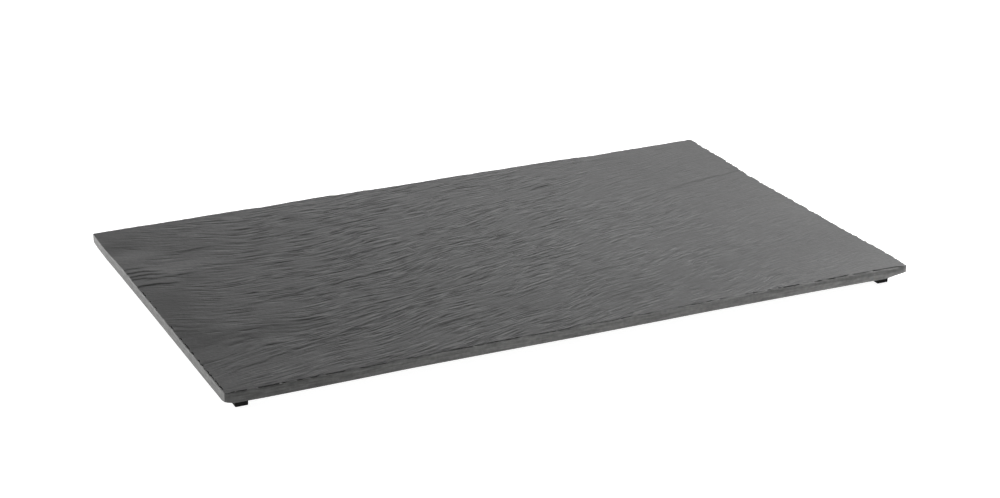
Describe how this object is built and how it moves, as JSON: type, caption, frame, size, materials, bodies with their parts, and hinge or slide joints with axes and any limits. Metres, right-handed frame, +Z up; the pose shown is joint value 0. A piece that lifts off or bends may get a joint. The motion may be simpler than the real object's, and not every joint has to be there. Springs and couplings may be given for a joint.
{
  "type": "slate serving slab",
  "caption": "Flat rectangular slab of riven slate with dressed edges, raised on small square rubber feet, for laying food or objects on.",
  "frame": {"origin": "on the surface that the feet stand on, below the middle of the slab", "axes": "+X along the slab's long side, -Y to its front edge, +Z up out of the serving face"},
  "size_m": [0.53, 0.325, 0.013],
  "materials": {
    "slate": "riven face, dressed edges, semi-matt",
    "rubber_feet": "moulded, matt"
  },
  "bodies": {
    "root": {"slate_slab": "slate", "foot_front_left": "rubber_feet", "foot_front_right": "rubber_feet", "foot_rear_left": "rubber_feet", "foot_rear_right": "rubber_feet"}
  },
  "joints": []
}
